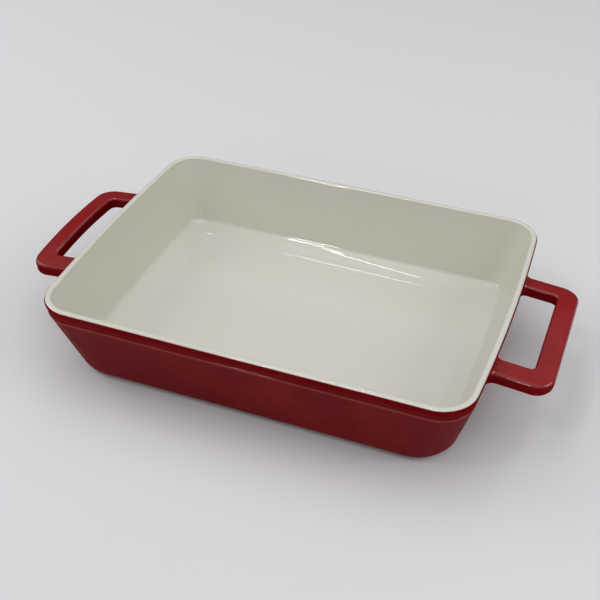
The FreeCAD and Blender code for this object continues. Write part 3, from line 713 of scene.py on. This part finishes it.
redFinish = {
    "thick": (0.150, 0.0018, 0.0035),
    # thin colour: where glaze runs thin at edges, and painted sheen on the handles' tops
    "thin": (0.36, 0.020, 0.022),
    "thinShare": 0.5,
    "cloudShare": 0.6,
    "gloss": 0.07,
    "glossDrift": 0.04,
    "specular": 0.0,
    "coatIor": 1.8,
    "coatRough": 0.04,
    "skinDepth": 0.00012,
}
creamFinish = {
    "thick": (0.605, 0.597, 0.503),
    # thin colour: painted light, paler and less yellow on up-facing faces, besides the clouds
    "thin": (0.613, 0.602, 0.5645),
    "thinShare": 0.6,
    "cloudShare": 0.6,
    "gloss": 0.08,
    "glossDrift": 0.04,
    "specular": 0.0,
    "coatIor": 1.8,
    "coatRough": 0.03,
    "skinDepth": 0.00010,
}
clayFinish = {
    "stoneware": ((0.56, 0.45, 0.34), (0.40, 0.30, 0.21)),
    "slip": ((0.62, 0.52, 0.41), (0.50, 0.40, 0.30)),
    "rough": 0.85,
    "grainDepth": 0.0002,
}


clayNoise = {  # size in metres, detail, roughness
    "sand": (0.004, 4.0, 0.65),
    "grit": (0.0009, 2.0),
    "specks": (0.0014, 0.0),
}
clayMix = {"sandColor": 0.6, "speckColor": 0.5, "speckFrom": 0.72, "gritHeight": 0.5}


# fired clay: sandy mottling, dark iron specks and a gritty face
def makeClayGroup():
    tree, given, made = groupTree("clayFace", [("Place", "vector"), ("Light", "color"), ("Dark", "color")],
                                  [("Color", "color"), ("Height", "value")])
    give = given.outputs
    noise = {name: noiseNode(tree, give["Place"], *values) for name, values in clayNoise.items()}
    specks = mathNode(tree, "GREATER_THAN", noise["specks"], clayMix["speckFrom"])
    share = mathNode(tree, "ADD", mathNode(tree, "MULTIPLY", noise["sand"], clayMix["sandColor"]),
                     mathNode(tree, "MULTIPLY", specks, clayMix["speckColor"]), clamp=True)
    grit = mathNode(tree, "MULTIPLY", noise["grit"], clayMix["gritHeight"])
    tree.links.new(mixColor(tree, share, give["Light"], give["Dark"]), made.inputs["Color"])
    tree.links.new(mathNode(tree, "ADD", noise["sand"], grit), made.inputs["Height"])
    return tree


clayGroup = makeClayGroup()


def makeClay(name, light, dark, finish):
    material = bpy.data.materials.new(name)
    material.use_nodes = True
    tree = material.node_tree
    shader = tree.nodes["Principled BSDF"]
    shader.inputs["Roughness"].default_value = finish["rough"]
    face = addNode(tree, "ShaderNodeGroup", node_tree=clayGroup)
    face.inputs["Light"].default_value = (*light, 1)
    face.inputs["Dark"].default_value = (*dark, 1)
    tree.links.new(addNode(tree, "ShaderNodeTexCoord").outputs["Object"], face.inputs["Place"])
    bump = addNode(tree, "ShaderNodeBump", {"Strength": 1.0, "Distance": finish["grainDepth"]})
    tree.links.new(face.outputs["Height"], bump.inputs["Height"])
    tree.links.new(bump.outputs["Normal"], shader.inputs["Normal"])
    tree.links.new(face.outputs["Color"], shader.inputs["Base Color"])
    return material


def coverWith(piece, material):
    piece.data.materials.clear()
    piece.data.materials.append(material)


redGlaze = makeGlaze("redGlaze", redFinish)
creamGlaze = makeGlaze("creamGlaze", creamFinish)
stoneware = makeClay("stoneware", *clayFinish["stoneware"], clayFinish)
slip = makeClay("slip", *clayFinish["slip"], clayFinish)
for piece in (redWall, underside, handleRight, handleLeft):
    coverWith(piece, redGlaze)
coverWith(creamLiner, creamGlaze)
for piece in (tray, clayRight, clayLeft):
    coverWith(piece, stoneware)
for piece in slips:
    coverWith(piece, slip)
print("glazes and clay applied")

# pale paper floor and soft light: a dome that brightens overhead, a wide lamp above and one on each side,
# three small far lamps in front that draw the thin highlights, and two thin strips above that show in the
# dish's floor
studio = {
    "floorSize": 12.0,
    "floorColor": (0.70, 0.70, 0.72),
    "floorRough": 0.75,
    "floorSpecular": 0.2,
    "domeLow": 0.24,          # strength near the horizon
    "domeHigh": 0.76,         # and overhead
    "domeFade": (0.45, 0.65),  # between these heights on the dome
}
lamps = {
    "overhead": {"place": (0.0, 0.0, 1.7), "size": (1.2, 1.2), "power": 2.5},
    "right": {"place": (1.4, 0.0, 0.9), "size": (0.8, 0.8), "power": 5.6},
    "left": {"place": (-1.4, 0.0, 0.9), "size": (0.8, 0.8), "power": 4.8},
    "farLow": {"place": (-0.906, -2.63, 1.12), "size": (0.20, 0.10), "power": 4.5},
    "farHigh": {"place": (-0.912, -1.30, 2.54), "size": (0.20, 0.10), "power": 4.5},
    "farFront": {"place": (0.34, -2.70, 1.30), "size": (0.20, 0.10), "power": 3.0},
    "stripHigh": {"place": (-0.36, 0.22, 1.60), "size": (0.50, 0.02), "power": 0.5},
    "stripLow": {"place": (-0.40, 1.03, 1.70), "size": (0.58, 0.03), "power": 0.8},
}


def makeFloor(s):
    half = s["floorSize"] / 2
    mesh = bpy.data.meshes.new("paperFloor")
    corners = [(-half, -half, 0), (half, -half, 0), (half, half, 0), (-half, half, 0)]
    mesh.from_pydata(corners, [], [(0, 1, 2, 3)])
    floor = bpy.data.objects.new("paperFloor", mesh)
    scene.collection.objects.link(floor)
    material = bpy.data.materials.new("paper")
    material.use_nodes = True
    shader = material.node_tree.nodes["Principled BSDF"]
    shader.inputs["Base Color"].default_value = (*s["floorColor"], 1)
    shader.inputs["Roughness"].default_value = s["floorRough"]
    shader.inputs["Specular IOR Level"].default_value = s["floorSpecular"]
    mesh.materials.append(material)


def makeLamp(name, v):
    data = bpy.data.lights.new(name, "AREA")
    data.shape = "RECTANGLE"
    data.size, data.size_y = v["size"]
    data.energy = v["power"]
    lamp = bpy.data.objects.new(name, data)
    lamp.location = v["place"]
    lamp.rotation_euler = (-lamp.location).to_track_quat("-Z", "Y").to_euler()  # aimed at the dish
    scene.collection.objects.link(lamp)


def makeDome(s):
    world = bpy.data.worlds.new("studioDome")
    world.use_nodes = True
    tree = world.node_tree
    height = addNode(tree, "ShaderNodeSeparateXYZ")
    tree.links.new(addNode(tree, "ShaderNodeTexCoord").outputs["Generated"], height.inputs["Vector"])
    fade = addNode(tree, "ShaderNodeMapRange", {
        "From Min": s["domeFade"][0], "From Max": s["domeFade"][1],
        "To Min": s["domeLow"], "To Max": s["domeHigh"],
    }, interpolation_type="SMOOTHSTEP")
    tree.links.new(height.outputs["Z"], fade.inputs["Value"])
    tree.links.new(fade.outputs["Result"], tree.nodes["Background"].inputs["Strength"])
    tree.nodes["Background"].inputs["Color"].default_value = (1, 1, 1, 1)
    scene.world = world


makeFloor(studio)
makeDome(studio)
for lampName, lampValues in lamps.items():
    makeLamp(lampName, lampValues)
print("studio lit")
